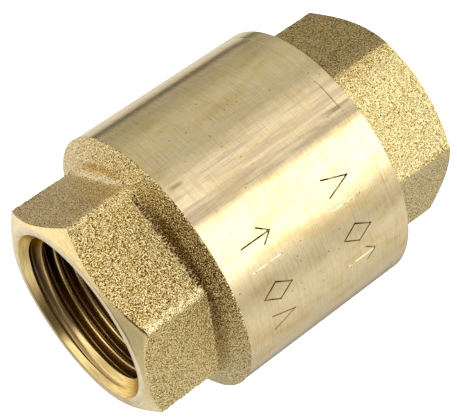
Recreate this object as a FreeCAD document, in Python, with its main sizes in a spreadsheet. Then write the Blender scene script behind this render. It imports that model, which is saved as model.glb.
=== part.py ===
"""In-line spring check valve, G1/2 female both ends, 25 mm across its wrench hexagons, in millimetres.

Each sub-part is drawn in the valve's own stations: X is the distance along the valve from the inlet
face. Every sub-part's Placement then moves it so that the origin is the middle of the valve, with +X
the way the water flows and +Z square to one flat of the inlet hexagon.
"""
import FreeCAD, Part
import math
import os
import re
import Sketcher

SIZES = {
    # outside
    "valve_length": 47,
    "across_flats": 25,
    "barrel_diameter": 34,
    "chamfer_diameter": 24.28,
    "chamfer_slope": 30,
    "shoulder_start": 9.5,
    "shoulder_root": 24.4,
    "shoulder_end": 11.15,
    "shoulder_rim": 34.2,
    "rim_end": 11.4,
    "seam": 33.95,
    "seam_break": 0.15,
    "cap_shoulder": 35.76,
    "cap_turn": 13.85,
    # ports
    "minor_diameter": 18.631,
    "mouth_diameter": 22.2,
    "inlet_stop": 11,
    "outlet_stop": 36,
    "outlet_bore": 17.2,
    # seat and chamber
    "seat_bore": 15.5,
    "seat_plane": 15,
    "lip_diameter": 17.5,
    "lip_height": 0.9,
    "chamber_diameter": 26,
    "joint_step": 27,
    "joint_diameter": 29,
    # cap inside
    "nose": 27.8,
    "nose_bevel": 0.3,
    "relief_start": 33,
    "relief_diameter": 28,
    "guide_seat": 31.2,
    "guide_diameter": 23.2,
    "ring_groove_diameter": 24.4,
    "ring_thickness": 0.6,
    "ring_clearance": 0.05,
    "ring_inner_diameter": 22,
    "ring_lug_diameter": 2.2,
    "ring_lug_hole": 1,
    "ring_lug_angle": 20,
    # guide
    "guide_thickness": 2.1,
    "guide_fit": 0.05,
    "guide_window_diameter": 20.6,
    "spoke_width": 1.8,
    "spoke_count": 3,
    "hub_start": 26,
    "hub_end": 32.2,
    "hub_diameter": 7.4,
    "bush_diameter": 5.6,
    "bush_flange_diameter": 6.8,
    "bush_flange": 0.5,
    "running_clearance": 0.04,
    # poppet
    "seal_thickness": 1.2,
    "seal_diameter": 18.8,
    "disc_diameter": 20.4,
    "disc_back": 18,
    "disc_rim_start": 15.4,
    "disc_rim_bore": 19,
    "boss_diameter": 7.2,
    "boss_height": 1,
    "clamp_thickness": 0.8,
    "clamp_diameter": 12.4,
    "stem_diameter": 4,
    "stem_screw_diameter": 3,
    "stem_start": 11.4,
    "stem_finish": 33.5,
    "stem_tip_bevel": 0.4,
    "collar_diameter": 5.8,
    "lift": 5,
    "nut_across_flats": 5.5,
    "nut_chamfer": 0.1,
    "nut_thickness": 2.4,
    # spring
    "spring_wire": 0.6,
    "spring_diameter": 9.2,
    "spring_turns": 6,
    "spring_washer_thickness": 0.5,
    "spring_washer_bore": 7.7,
    "spring_washer_diameter": 11.4,
    # joint between body and cap
    "gasket_bore": 26.1,
    "gasket_diameter": 28.9,
}

doc = FreeCAD.newDocument("check_valve")
sheet = doc.addObject("Spreadsheet::Sheet", "Sizes")
for row, (word, number) in enumerate(SIZES.items(), start=1):
    sheet.set(f"A{row}", word)
    sheet.set(f"B{row}", str(number))
    sheet.setAlias(f"B{row}", word)
doc.recompute()

X_AXIS = FreeCAD.Vector(1, 0, 0)
ON_LINE = 1e-9
START_POINT, CENTRE_POINT = 1, 3


def bound(rule):
    """The rule with each size's name turned into a reference to its cell."""
    return re.sub(r"[a-z_]+", lambda word: f"Sizes.{word[0]}" if word[0] in SIZES else word[0], rule)


def value(rule):
    """What the rule comes to, in millimetres or degrees."""
    return float(sheet.evalExpression(bound(rule)))


def seat_in_valve(part, turn="0"):
    """Move the part's stations so that the valve's middle is the origin, turned about the flow axis."""
    spin = FreeCAD.Rotation(X_AXIS, value(turn))
    part.Placement = FreeCAD.Placement(FreeCAD.Vector(-value("valve_length / 2"), 0, 0), spin)
    part.setExpression("Placement.Base.x", bound("-valve_length / 2"))
    if turn != "0":
        part.setExpression("Placement.Rotation.Angle", bound(turn))


def new_body(label, turn="0"):
    body = doc.addObject("PartDesign::Body", label)
    body.Label = label
    seat_in_valve(body, turn)
    return body


def new_sketch(body, name, role, station=None):
    """A sketch on one of the body's origin planes, moved along the flow axis to its station."""
    sketch = body.newObject("Sketcher::SketchObject", name)
    plane = next(item for item in body.Origin.OriginFeatures if item.Role == role)
    sketch.AttachmentSupport = [(plane, "")]
    sketch.MapMode = "FlatFace"
    if station:
        sketch.AttachmentOffset.Base.z = value(station)
        sketch.setExpression(".AttachmentOffset.Base.z", bound(station))
    return sketch


def bind(sketch, constraint, rule):
    """Add a dimension to the sketch and tie it to the sheet."""
    index = sketch.addConstraint(constraint)
    sketch.setExpression(f"Constraints[{index}]", bound(rule))


def hold_point(sketch, curve, point, across, up):
    """Fix a point of a line or circle at its two rules, each a distance from the origin or zero."""
    for kind, rule, axis in (("DistanceX", across, -2), ("DistanceY", up, -1)):
        distance = value(rule)
        if abs(distance) < ON_LINE:
            sketch.addConstraint(Sketcher.Constraint("PointOnObject", curve, point, axis))
        else:
            bind(sketch, Sketcher.Constraint(kind, -1, 1, curve, point, distance), rule)


def draw_outline(sketch, corners):
    """A closed outline through the corners, each a pair of rules."""
    spots = [FreeCAD.Vector(value(across), value(up), 0) for across, up in corners]
    lines = [Part.LineSegment(a, b) for a, b in zip(spots, spots[1:] + spots[:1])]
    sketch.addGeometry(lines, False)
    for line in range(len(lines)):
        following = (line + 1) % len(lines)
        sketch.addConstraint(Sketcher.Constraint("Coincident", line, 2, following, 1))
    for line, (across, up) in enumerate(corners):
        hold_point(sketch, line, START_POINT, across, up)


def draw_circle(sketch, diameter, across="0", up="0"):
    """A circle of the given diameter, its centre at the two rules."""
    centre = FreeCAD.Vector(value(across), value(up), 0)
    ring = sketch.addGeometry(Part.Circle(centre, FreeCAD.Vector(0, 0, 1), value(diameter) / 2), False)
    hold_point(sketch, ring, CENTRE_POINT, across, up)
    bind(sketch, Sketcher.Constraint("Diameter", ring, value(diameter)), diameter)


def draw_hexagon(sketch, flats):
    """A hexagon about the origin, with a corner on the sketch's horizontal axis."""
    reach = value(flats) / 2 / math.cos(math.radians(30))
    turns = [math.radians(60 * corner) for corner in range(6)]
    spots = [FreeCAD.Vector(reach * math.cos(turn), reach * math.sin(turn), 0) for turn in turns]
    sketch.addGeometry([Part.LineSegment(a, b) for a, b in zip(spots, spots[1:] + spots[:1])], False)
    circle = sketch.addGeometry(Part.Circle(FreeCAD.Vector(), FreeCAD.Vector(0, 0, 1), reach), True)
    sketch.addConstraint(Sketcher.Constraint("Coincident", circle, 3, -1, 1))
    bind(sketch, Sketcher.Constraint("Radius", circle, reach), f"{flats} / 2 / cos(30)")
    for side in range(6):
        sketch.addConstraint(Sketcher.Constraint("Coincident", side, 2, (side + 1) % 6, 1))
        sketch.addConstraint(Sketcher.Constraint("PointOnObject", side, 1, circle))
    for side in range(1, 6):
        sketch.addConstraint(Sketcher.Constraint("Equal", 0, side))
    sketch.addConstraint(Sketcher.Constraint("PointOnObject", 0, 1, -1))


def turn_outline(body, name, kind, corners):
    """Revolve an outline of (station, radius) corners about the flow axis, to add or to cut."""
    sketch = new_sketch(body, f"{name}_outline", "XY_Plane")
    draw_outline(sketch, corners)
    turned = body.newObject(f"PartDesign::{kind}", name)
    turned.Profile = sketch
    turned.ReferenceAxis = (sketch, ["H_Axis"])
    turned.Angle = 360
    doc.recompute()
    return turned


def pad_sketch(body, name, sketch, length):
    """Pad a sketch along +X by the rule's length."""
    pad = body.newObject("PartDesign::Pad", name)
    pad.Profile = sketch
    pad.Length = value(length)
    pad.setExpression("Length", bound(length))
    doc.recompute()
    return pad


def pocket_sketch(body, name, sketch, length):
    """Cut a sketch towards +X by the rule's length."""
    pocket = body.newObject("PartDesign::Pocket", name)
    pocket.Profile = sketch
    pocket.Length = value(length)
    pocket.setExpression("Length", bound(length))
    pocket.Reversed = True
    doc.recompute()
    return pocket


def turned_part(label, corners):
    """A sub-part that is turned from one outline."""
    body = new_body(label)
    turn_outline(body, f"{label}_turning", "Revolution", corners)
    return body


def cut_wrench_chamfer(body, name, face, inward):
    """Bevel a hexagon's corners where it meets its end face; inward is + or - along X."""
    outer = "barrel_diameter / 2"
    run = f"({outer} - chamfer_diameter / 2) * tan(chamfer_slope)"
    turn_outline(body, name, "Groove", [
        (face, "chamfer_diameter / 2"),
        (f"{face} {inward} {run}", outer),
        (face, outer),
    ])


def port_outline(face, inward, thread_stop):
    """Corners of a port from its end face to the end of its thread: 45 degree countersink, thread bore."""
    countersink = "(mouth_diameter - minor_diameter) / 2"
    return [
        (face, "0"),
        (face, "mouth_diameter / 2"),
        (f"{face} {inward} {countersink}", "minor_diameter / 2"),
        (thread_stop, "minor_diameter / 2"),
    ]


def make_valve_body():
    """Inlet hexagon, forged shoulder and turned barrel, with the seat and the chamber inside."""
    body = new_body("valve_body")
    hexagon = new_sketch(body, "inlet_hexagon_outline", "YZ_Plane")
    draw_hexagon(hexagon, "across_flats")
    pad_sketch(body, "inlet_hexagon", hexagon, "shoulder_end")
    turn_outline(body, "barrel", "Revolution", [
        ("shoulder_start", "0"),
        ("shoulder_start", "shoulder_root / 2"),
        ("shoulder_end", "shoulder_rim / 2"),
        ("rim_end", "shoulder_rim / 2"),
        ("rim_end", "barrel_diameter / 2"),
        ("seam - seam_break", "barrel_diameter / 2"),
        ("seam", "barrel_diameter / 2 - seam_break"),
        ("seam", "0"),
    ])
    cut_wrench_chamfer(body, "inlet_chamfer", "0", "+")
    web = "(minor_diameter - seat_bore) / 2 * tan(30)"
    turn_outline(body, "waterway", "Groove", port_outline("0", "+", "inlet_stop") + [
        (f"inlet_stop + {web}", "seat_bore / 2"),
        ("seat_plane", "seat_bore / 2"),
        ("seat_plane", "lip_diameter / 2"),
        ("seat_plane - lip_height", "lip_diameter / 2"),
        ("seat_plane - lip_height", "chamber_diameter / 2"),
        ("joint_step", "chamber_diameter / 2"),
        ("joint_step", "joint_diameter / 2"),
        ("seam", "joint_diameter / 2"),
        ("seam", "0"),
    ])
    return body


def make_end_cap():
    """Outlet hexagon, flange and screwed spigot in one turned bar, stopped part-way round."""
    body = new_body("end_cap", turn="cap_turn")
    turn_outline(body, "spigot_and_flange", "Revolution", [
        ("nose", "0"),
        ("nose", "joint_diameter / 2 - nose_bevel"),
        ("nose + nose_bevel", "joint_diameter / 2"),
        ("relief_start", "joint_diameter / 2"),
        ("relief_start", "relief_diameter / 2"),
        ("seam", "relief_diameter / 2"),
        ("seam", "barrel_diameter / 2 - seam_break"),
        ("seam + seam_break", "barrel_diameter / 2"),
        ("cap_shoulder - seam_break", "barrel_diameter / 2"),
        ("cap_shoulder", "barrel_diameter / 2 - seam_break"),
        ("cap_shoulder", "0"),
    ])
    hexagon = new_sketch(body, "outlet_hexagon_outline", "YZ_Plane", "cap_shoulder")
    draw_hexagon(hexagon, "across_flats")
    pad_sketch(body, "outlet_hexagon", hexagon, "valve_length - cap_shoulder")
    cut_wrench_chamfer(body, "outlet_chamfer", "valve_length", "-")
    step = "(minor_diameter - outlet_bore) / 2 * tan(30)"
    groove_end = "guide_seat - guide_thickness + ring_clearance"
    groove_start = "guide_seat - guide_thickness - ring_thickness - ring_clearance"
    turn_outline(body, "waterway", "Groove", port_outline("valve_length", "-", "outlet_stop") + [
        (f"outlet_stop - {step}", "outlet_bore / 2"),
        ("guide_seat", "outlet_bore / 2"),
        ("guide_seat", "guide_diameter / 2"),
        (groove_end, "guide_diameter / 2"),
        (groove_end, "ring_groove_diameter / 2"),
        (groove_start, "ring_groove_diameter / 2"),
        (groove_start, "guide_diameter / 2"),
        ("nose", "guide_diameter / 2"),
        ("nose", "0"),
    ])
    return body


def make_cap_gasket():
    """Flat ring that the cap's nose presses on the step in the body."""
    return turned_part("cap_gasket", [
        ("joint_step", "gasket_bore / 2"),
        ("nose", "gasket_bore / 2"),
        ("nose", "gasket_diameter / 2 - nose_bevel"),
        ("nose - nose_bevel", "gasket_diameter / 2"),
        ("joint_step", "gasket_diameter / 2"),
    ])


def make_poppet_disc():
    """Disc with a rim that holds the seal and a boss that centres the spring."""
    return turned_part("poppet_disc", [
        ("seat_plane + seal_thickness", "stem_screw_diameter / 2"),
        ("seat_plane + seal_thickness", "disc_rim_bore / 2"),
        ("disc_rim_start", "disc_rim_bore / 2"),
        ("disc_rim_start", "disc_diameter / 2"),
        ("disc_back", "disc_diameter / 2"),
        ("disc_back", "boss_diameter / 2"),
        ("disc_back + boss_height", "boss_diameter / 2"),
        ("disc_back + boss_height", "stem_screw_diameter / 2"),
    ])


def make_poppet_seal():
    """Flat rubber washer that closes on the seat's lip."""
    return turned_part("poppet_seal", [
        ("seat_plane", "stem_screw_diameter / 2"),
        ("seat_plane + seal_thickness", "stem_screw_diameter / 2"),
        ("seat_plane + seal_thickness", "seal_diameter / 2"),
        ("seat_plane", "seal_diameter / 2"),
    ])


def make_seal_clamp_washer():
    """Washer that the nut presses on the seal."""
    return turned_part("seal_clamp_washer", [
        ("seat_plane - clamp_thickness", "stem_screw_diameter / 2"),
        ("seat_plane", "stem_screw_diameter / 2"),
        ("seat_plane", "clamp_diameter / 2"),
        ("seat_plane - clamp_thickness / 2", "clamp_diameter / 2"),
        ("seat_plane - clamp_thickness", "clamp_diameter / 2 - clamp_thickness / 2"),
    ])


def make_stem_nut():
    """Hexagon nut on the inlet end of the stem, both faces chamfered."""
    body = new_body("stem_nut")
    back = "seat_plane - clamp_thickness"
    front = f"{back} - nut_thickness"
    hexagon = new_sketch(body, "nut_hexagon", "YZ_Plane", front)
    draw_hexagon(hexagon, "nut_across_flats")
    pad_sketch(body, "nut_blank", hexagon, "nut_thickness")
    touch = "nut_across_flats / 2 - nut_chamfer"
    beyond = "nut_across_flats"
    run = f"({beyond} - ({touch})) * tan(chamfer_slope)"
    for name, face, inward in (("front_chamfer", front, "+"), ("back_chamfer", back, "-")):
        turn_outline(body, name, "Groove", [
            (face, touch),
            (f"{face} {inward} {run}", beyond),
            (face, beyond),
        ])
    hole = new_sketch(body, "nut_hole_outline", "YZ_Plane", front)
    draw_circle(hole, "stem_screw_diameter")
    pocket_sketch(body, "nut_hole", hole, "nut_thickness")
    return body


def make_poppet_stem():
    """Stem: screwed front end, collar that clamps the disc and stops the lift, guided back end."""
    collar_end = "hub_start - lift"
    return turned_part("poppet_stem", [
        ("stem_start", "0"),
        ("stem_start", "stem_screw_diameter / 2 - stem_tip_bevel"),
        ("stem_start + stem_tip_bevel", "stem_screw_diameter / 2"),
        ("disc_back + boss_height", "stem_screw_diameter / 2"),
        ("disc_back + boss_height", "collar_diameter / 2"),
        (collar_end, "collar_diameter / 2"),
        (collar_end, "stem_diameter / 2"),
        ("stem_finish - stem_tip_bevel", "stem_diameter / 2"),
        ("stem_finish", "stem_diameter / 2 - stem_tip_bevel"),
        ("stem_finish", "0"),
    ])


def make_return_spring():
    """Round-wire compression spring from the disc's back to the spring washer."""
    spring_end = "guide_seat - guide_thickness - spring_washer_thickness"
    coil = doc.addObject("Part::Helix", "spring_coil")
    coil.setExpression("Radius", bound("spring_diameter / 2"))
    coil.setExpression("Height", bound(f"{spring_end} - disc_back - spring_wire"))
    coil.setExpression("Pitch", bound(f"({spring_end} - disc_back - spring_wire) / spring_turns"))
    wire = doc.addObject("Part::Circle", "spring_wire_section")
    wire.setExpression("Radius", bound("spring_wire / 2"))
    wire.Placement.Rotation = FreeCAD.Rotation(X_AXIS, 90)
    wire.setExpression("Placement.Base.x", bound("spring_diameter / 2"))
    spring = doc.addObject("Part::Sweep", "return_spring")
    spring.Label = "return_spring"
    spring.Sections = [wire]
    spring.Spine = (coil, ["Edge1"])
    spring.Solid = True
    spring.Frenet = True
    spring.Placement.Rotation = FreeCAD.Rotation(FreeCAD.Vector(0, 1, 0), 90)
    spring.setExpression("Placement.Base.x", bound("disc_back + spring_wire / 2 - valve_length / 2"))
    doc.recompute()
    return spring


def make_spring_washer():
    """Thin washer between the spring and the guide's spokes."""
    start = "guide_seat - guide_thickness - spring_washer_thickness"
    end = "guide_seat - guide_thickness"
    return turned_part("spring_washer", [
        (start, "spring_washer_bore / 2"),
        (end, "spring_washer_bore / 2"),
        (end, "spring_washer_diameter / 2"),
        (start, "spring_washer_diameter / 2"),
    ])


def make_stem_guide():
    """Ring, spokes and hub that carry the stem across the waterway."""
    body = new_body("stem_guide")
    start = "guide_seat - guide_thickness"
    outer = "guide_diameter / 2 - guide_fit"
    turn_outline(body, "guide_ring", "Revolution", [
        (start, "guide_window_diameter / 2"),
        ("guide_seat", "guide_window_diameter / 2"),
        ("guide_seat", outer),
        (start, outer),
    ])
    spoke = new_sketch(body, "spoke_outline", "YZ_Plane", start)
    reach = "guide_window_diameter / 2 + guide_fit"
    draw_outline(spoke, [
        ("0", "-spoke_width / 2"),
        (reach, "-spoke_width / 2"),
        (reach, "spoke_width / 2"),
        ("0", "spoke_width / 2"),
    ])
    spoke_pad = pad_sketch(body, "spoke", spoke, "guide_thickness")
    spokes = body.newObject("PartDesign::PolarPattern", "spokes")
    spokes.Originals = [spoke_pad]
    spokes.Axis = (spoke, ["N_Axis"])
    spokes.Angle = 360
    spokes.setExpression("Occurrences", bound("spoke_count"))
    body.Tip = spokes
    doc.recompute()
    turn_outline(body, "hub", "Revolution", [
        ("hub_start", "0"),
        ("hub_start", "hub_diameter / 2"),
        ("hub_end", "hub_diameter / 2"),
        ("hub_end", "0"),
    ])
    turn_outline(body, "hub_bore", "Groove", [
        ("hub_start", "0"),
        ("hub_start", "bush_diameter / 2"),
        ("hub_end", "bush_diameter / 2"),
        ("hub_end", "0"),
    ])
    return body


def make_guide_bush():
    """Flanged plain bearing pressed into the hub from the outlet side."""
    bore = "stem_diameter / 2 + running_clearance"
    return turned_part("guide_bush", [
        ("hub_start", bore),
        ("hub_end + bush_flange", bore),
        ("hub_end + bush_flange", "bush_flange_diameter / 2"),
        ("hub_end", "bush_flange_diameter / 2"),
        ("hub_end", "bush_diameter / 2"),
        ("hub_start", "bush_diameter / 2"),
    ])


def make_guide_retaining_ring():
    """Open spring ring with two drilled lugs, in the groove in front of the guide."""
    body = new_body("guide_retaining_ring")
    start = "guide_seat - guide_thickness - ring_thickness"
    lug_circle = "(ring_inner_diameter - ring_lug_diameter / 4) / 2"
    lug_spots = [(f"{lug_circle} * cos(ring_lug_angle)", f"{side}{lug_circle} * sin(ring_lug_angle)")
                 for side in ("", "-")]
    band = new_sketch(body, "ring_outline", "YZ_Plane", start)
    draw_circle(band, "ring_groove_diameter - 2 * ring_clearance")
    draw_circle(band, "ring_inner_diameter")
    pad_sketch(body, "ring_band", band, "ring_thickness")
    gap = new_sketch(body, "gap_outline", "YZ_Plane", start)
    draw_outline(gap, [
        ("0", "0"),
        ("ring_groove_diameter", "-ring_groove_diameter * tan(ring_lug_angle)"),
        ("ring_groove_diameter", "ring_groove_diameter * tan(ring_lug_angle)"),
    ])
    pocket_sketch(body, "ring_gap", gap, "ring_thickness")
    for number, (across, up) in enumerate(lug_spots, start=1):
        lug = new_sketch(body, f"lug_{number}_outline", "YZ_Plane", start)
        draw_circle(lug, "ring_lug_diameter", across, up)
        pad_sketch(body, f"lug_{number}", lug, "ring_thickness")
        hole = new_sketch(body, f"lug_{number}_hole_outline", "YZ_Plane", start)
        draw_circle(hole, "ring_lug_hole", across, up)
        pocket_sketch(body, f"lug_{number}_hole", hole, "ring_thickness")
    return body


def check_document(parts):
    """Stop if any feature failed or any sub-part isn't one valid solid."""
    for item in doc.Objects:
        if "Invalid" in item.State or "Error" in item.State:
            raise RuntimeError(f"{item.Label} failed: {item.State}")
    for part in parts:
        shape = part.Shape
        if shape.isNull() or not shape.isValid() or len(shape.Solids) != 1:
            raise RuntimeError(f"{part.Label} is not one valid solid")


parts = [
    make_valve_body(),
    make_end_cap(),
    make_cap_gasket(),
    make_poppet_disc(),
    make_poppet_seal(),
    make_seal_clamp_washer(),
    make_stem_nut(),
    make_poppet_stem(),
    make_return_spring(),
    make_spring_washer(),
    make_stem_guide(),
    make_guide_bush(),
    make_guide_retaining_ring(),
]
doc.recompute()
check_document(parts)
os.makedirs("parts", exist_ok=True)
for part in parts:
    part.Shape.exportStep(f"parts/{part.Label}.step")
    box = part.Shape.BoundBox
    print(f"{part.Label}: {part.Shape.Volume:.1f} mm3, x {box.XMin:.2f} to {box.XMax:.2f}")
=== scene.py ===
"""Looks of a brass in-line check valve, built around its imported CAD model.

Lengths are in metres. The valve lies along X, inlet end at -X, with one flat of the inlet hexagon up.
Angles round the valve are turned from +Y towards +Z.
"""

import math

import bpy
import numpy as np
from mathutils import Matrix, Vector, noise


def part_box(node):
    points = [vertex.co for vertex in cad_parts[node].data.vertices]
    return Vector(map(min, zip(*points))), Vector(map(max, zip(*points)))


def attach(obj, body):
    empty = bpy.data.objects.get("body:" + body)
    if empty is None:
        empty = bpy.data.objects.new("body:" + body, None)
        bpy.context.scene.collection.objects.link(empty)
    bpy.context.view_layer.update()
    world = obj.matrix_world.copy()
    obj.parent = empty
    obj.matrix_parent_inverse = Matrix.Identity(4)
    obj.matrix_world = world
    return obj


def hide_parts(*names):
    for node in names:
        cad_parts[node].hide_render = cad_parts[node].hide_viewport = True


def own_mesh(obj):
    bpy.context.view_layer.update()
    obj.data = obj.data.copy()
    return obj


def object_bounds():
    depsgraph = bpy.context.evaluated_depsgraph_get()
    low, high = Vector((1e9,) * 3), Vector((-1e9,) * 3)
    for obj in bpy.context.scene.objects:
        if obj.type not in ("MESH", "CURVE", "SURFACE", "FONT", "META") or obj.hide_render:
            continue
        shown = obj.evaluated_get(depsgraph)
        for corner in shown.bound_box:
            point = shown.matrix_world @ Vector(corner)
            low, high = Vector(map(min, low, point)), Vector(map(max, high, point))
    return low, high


MM = 0.001
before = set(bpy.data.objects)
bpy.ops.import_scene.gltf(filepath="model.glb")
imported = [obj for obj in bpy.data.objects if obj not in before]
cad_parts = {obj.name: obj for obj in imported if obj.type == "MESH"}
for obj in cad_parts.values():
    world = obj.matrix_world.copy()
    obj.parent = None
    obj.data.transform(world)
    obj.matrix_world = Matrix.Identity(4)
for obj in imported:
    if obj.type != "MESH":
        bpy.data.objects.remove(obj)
cad_low, cad_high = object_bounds()
body_low, body_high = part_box("valve_body")
cap_low, cap_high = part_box("end_cap")

# the valve's main stations along X, and its radii
INLET, OUTLET = body_low.x, cap_high.x
SEAM = body_high.x
BARREL = cap_high.z
RIM = body_high.z
CAP_SHOULDER = SEAM + 1.81 * MM
SHOULDER_START = INLET + 9.5 * MM
SHOULDER_ROOT = 12.2 * MM
SHOULDER_END = INLET + 11.15 * MM
RIM_END = INLET + 11.4 * MM
FOOT_RADIUS = 14.2 * MM
FOOT_RISE = 0.4 * MM
FOOT_START = SHOULDER_START + 0.18 * MM
FLAT = 12.5 * MM
CHAMFER_START = 12.14 * MM
CHAMFER_SLOPE = math.tan(math.radians(30))
CAP_TURN = math.radians(13.85)

# inside of the body: the seat and its lip, the chamber, and the bore that takes the cap
SEAT = INLET + 15 * MM
SEAT_BORE = 7.75 * MM
LIP = 8.75 * MM
LIP_HEIGHT = 0.9 * MM
CHAMBER = 13 * MM
JOINT = 14.5 * MM

# inside of the cap: its nose, the relief behind the thread, the guide's seat and ring groove, the waterway
NOSE_BEVEL = 0.3 * MM
RELIEF = 14.0 * MM
RELIEF_LENGTH = 0.95 * MM
GUIDE_BORE = 11.6 * MM
GUIDE_THICKNESS = 2.1 * MM
GROOVE = 12.2 * MM
GROOVE_PLAY = 0.05 * MM
WATERWAY = 8.6 * MM

# ports: G 1/2 thread, the distance between the rows of its mesh, and where the smooth bores begin
PITCH = 1.814 * MM
MINOR = 9.3155 * MM
THREAD_DEPTH = 1.162 * MM
THREAD_END = 11 * MM
THREAD_ROW = 0.08 * MM
SEAT_BORE_START = INLET + THREAD_END + 0.9 * MM
WATERWAY_END = OUTLET - THREAD_END - 0.4 * MM
FLAT_SHARE = 0.08
MOUTH = 11.1 * MM
FIRST_CREST = 2.25 * MM

# material slots of the turned and cast skins
CAST, TURNED, FACED, THREADED, INSIDE, CHAMFERED = range(6)


# ---------------------------------------------------------------- materials

def new_material(name):
    """A material with only a Principled shader and its output."""
    material = bpy.data.materials.new(name)
    material.use_nodes = True
    tree = material.node_tree
    tree.nodes.clear()
    output = tree.nodes.new("ShaderNodeOutputMaterial")
    shader = tree.nodes.new("ShaderNodeBsdfPrincipled")
    tree.links.new(shader.outputs["BSDF"], output.inputs["Surface"])
    return material, tree, shader


def add_node(tree, kind, settings=None, **inputs):
    """Add a node; settings are its properties, inputs its values or sockets by name or _number."""
    node = tree.nodes.new(kind)
    for key, value in (settings or {}).items():
        setattr(node, key, value)
    for key, value in inputs.items():
        socket = node.inputs[int(key[1:])] if key[0] == "_" else node.inputs[key.replace("_", " ")]
        if isinstance(value, bpy.types.NodeSocket):
            tree.links.new(value, socket)
        else:
            socket.default_value = value
    return node


def object_place(tree, stretch=(1, 1, 1)):
    """The point on the surface in millimetres, each axis multiplied by its stretch."""
    place = add_node(tree, "ShaderNodeTexCoord")
    scaled = add_node(tree, "ShaderNodeMapping", Vector=place.outputs["Object"])
    scaled.inputs["Scale"].default_value = [1000 * share for share in stretch]
    return scaled.outputs["Vector"]


def noise_value(tree, place, scale, detail=2.0, roughness=0.5):
    """Soft noise between 0 and 1; the scale is in waves per unit of the place."""
    made = add_node(tree, "ShaderNodeTexNoise", Vector=place, Scale=scale, Detail=detail,
                    Roughness=roughness)
    return made.outputs["Fac"]


def ramp(tree, value, stops):
    """A colour ramp through (position, colour) stops."""
    node = add_node(tree, "ShaderNodeValToRGB", Fac=value)
    elements = node.color_ramp.elements
    while len(elements) > 1:
        elements.remove(elements[-1])
    first_position, first_colour = stops[0]
    elements[0].position = first_position
    elements[0].color = (*first_colour, 1)
    for position, colour in stops[1:]:
        elements.new(position).color = (*colour, 1)
    return node.outputs["Color"]


def remap(tree, value, low, high, to_low, to_high):
    """The value from between low and high taken to between to_low and to_high, and held there outside."""
    node = add_node(tree, "ShaderNodeMapRange", Value=value)
    for name, number in (("From Min", low), ("From Max", high), ("To Min", to_low), ("To Max", to_high)):
        node.inputs[name].default_value = number
    return node.outputs["Result"]


def mix_colour(tree, share, first, second, blend="MIX"):
    """The first colour, blended with a share of the second."""
    node = add_node(tree, "ShaderNodeMix", {"data_type": "RGBA", "blend_type": blend})
    for socket, value in ((node.inputs[0], share), (node.inputs[6], first), (node.inputs[7], second)):
        if isinstance(value, bpy.types.NodeSocket):
            tree.links.new(value, socket)
        else:
            socket.default_value = (*value, 1) if isinstance(value, tuple) else value
    return node.outputs[2]


def bump(tree, height, strength, distance, normal=None):
    """A normal tilted by the height, on top of another normal where one is given."""
    node = add_node(tree, "ShaderNodeBump", Height=height, Strength=strength, Distance=distance)
    if normal:
        tree.links.new(normal, node.inputs["Normal"])
    return node.outputs["Normal"]


def calculate(tree, operation, first, second=0.0):
    """Result of a math node."""
    return add_node(tree, "ShaderNodeMath", {"operation": operation}, _0=first, _1=second).outputs[0]


def multiply(tree, first, second):
    """Product of two values."""
    return calculate(tree, "MULTIPLY", first, second)


def add(tree, first, second):
    """Sum of two values."""
    return calculate(tree, "ADD", first, second)


def axis_value(tree, axis):
    """One coordinate of the point on the surface, in millimetres."""
    return add_node(tree, "ShaderNodeSeparateXYZ", Vector=object_place(tree)).outputs[axis]


def axis_distance(tree):
    """Distance of the point on the surface from the valve's axis, in millimetres."""
    place = object_place(tree, (0, 1, 1))
    return add_node(tree, "ShaderNodeVectorMath", {"operation": "LENGTH"}, _0=place).outputs["Value"]


def distance_along(tree, direction):
    """How far the point on the surface lies in a direction from the origin, in millimetres."""
    node = add_node(tree, "ShaderNodeVectorMath", {"operation": "DOT_PRODUCT"}, _0=object_place(tree))
    node.inputs[1].default_value = direction
    return node.outputs["Value"]


def band(tree, value, rise_from, rise_to, fall_from, fall_to, peak=1.0):
    """Rises to the peak as the value passes the first two numbers, and falls to 0 over the last two."""
    rise = remap(tree, value, rise_from, rise_to, 0.0, peak)
    return multiply(tree, rise, remap(tree, value, fall_from, fall_to, 1.0, 0.0))


def station_band(tree, *stations):
    """A band between stations along the valve, in millimetres from the inlet face."""
    return band(tree, axis_value(tree, "X"), *(station + INLET / MM for station in stations))


# where the two hexagons' flats rise and fall, as stations
INLET_FLATS = (-1.0, 0.0, 8.5, 9.5)
OUTLET_FLATS = (35.7, 35.9, 48.0, 49.0)


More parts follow.
